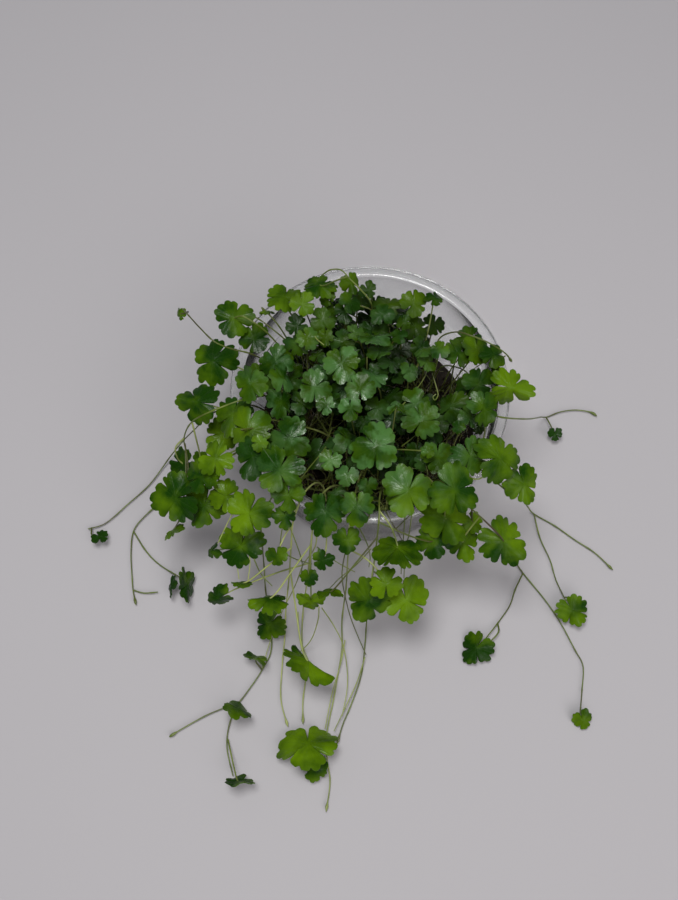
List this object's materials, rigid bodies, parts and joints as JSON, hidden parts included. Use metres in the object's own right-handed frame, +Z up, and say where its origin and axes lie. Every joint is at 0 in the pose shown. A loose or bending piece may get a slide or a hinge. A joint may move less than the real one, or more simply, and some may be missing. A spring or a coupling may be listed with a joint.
{
  "type": "hydrocotyle tripartita in jar",
  "caption": "Low creeping aquarium plant with three-lobed leaves, rooted in soil in a clear plastic jar, with thin stems trailing over the lip onto the surface.",
  "frame": {"origin": "centre of the jar's flat underside, on the surface it stands on", "axes": "+Z up along the jar's axis; -Y towards the front, where most stems trail; +X to the right"},
  "size_m": [0.2155, 0.2031, 0.0797],
  "materials": {
    "clear_plastic": "clear, thin, glossy moulded plastic",
    "dark_soil": "damp, crumbly, matt",
    "leaf_green": "soft waxy sheen, fine veins",
    "trailing_green": "soft waxy sheen, paler stems"
  },
  "bodies": {
    "root": {"arching_stem_back": "trailing_green", "arching_stem_right": "trailing_green", "creeping_stem_01": "leaf_green", "creeping_stem_02": "leaf_green", "creeping_stem_03": "leaf_green", "creeping_stem_04": "leaf_green", "creeping_stem_05": "leaf_green", "creeping_stem_06": "leaf_green", "creeping_stem_07": "leaf_green", "creeping_stem_08": "leaf_green", "creeping_stem_09": "leaf_green", "creeping_stem_10": "leaf_green", "creeping_stem_11": "leaf_green", "creeping_stem_12": "leaf_green", "creeping_stem_13": "leaf_green", "creeping_stem_14": "leaf_green", "creeping_stem_15": "leaf_green", "creeping_stem_16": "leaf_green", "creeping_stem_17": "leaf_green", "creeping_stem_18": "leaf_green", "creeping_stem_19": "leaf_green", "creeping_stem_20": "leaf_green", "jar": "clear_plastic", "soil": "dark_soil", "trailing_stem_far_left": "trailing_green", "trailing_stem_front_bare": "trailing_green", "trailing_stem_front_left": "trailing_green", "trailing_stem_front_long": "trailing_green", "trailing_stem_front_pale": "trailing_green", "trailing_stem_front_right": "trailing_green", "trailing_stem_front_right_long": "trailing_green", "trailing_stem_front_thin": "trailing_green", "trailing_stem_left_long": "trailing_green", "trailing_stem_left_short": "trailing_green", "trailing_stem_right": "trailing_green", "young_shoot_left": "trailing_green"}
  },
  "joints": []
}
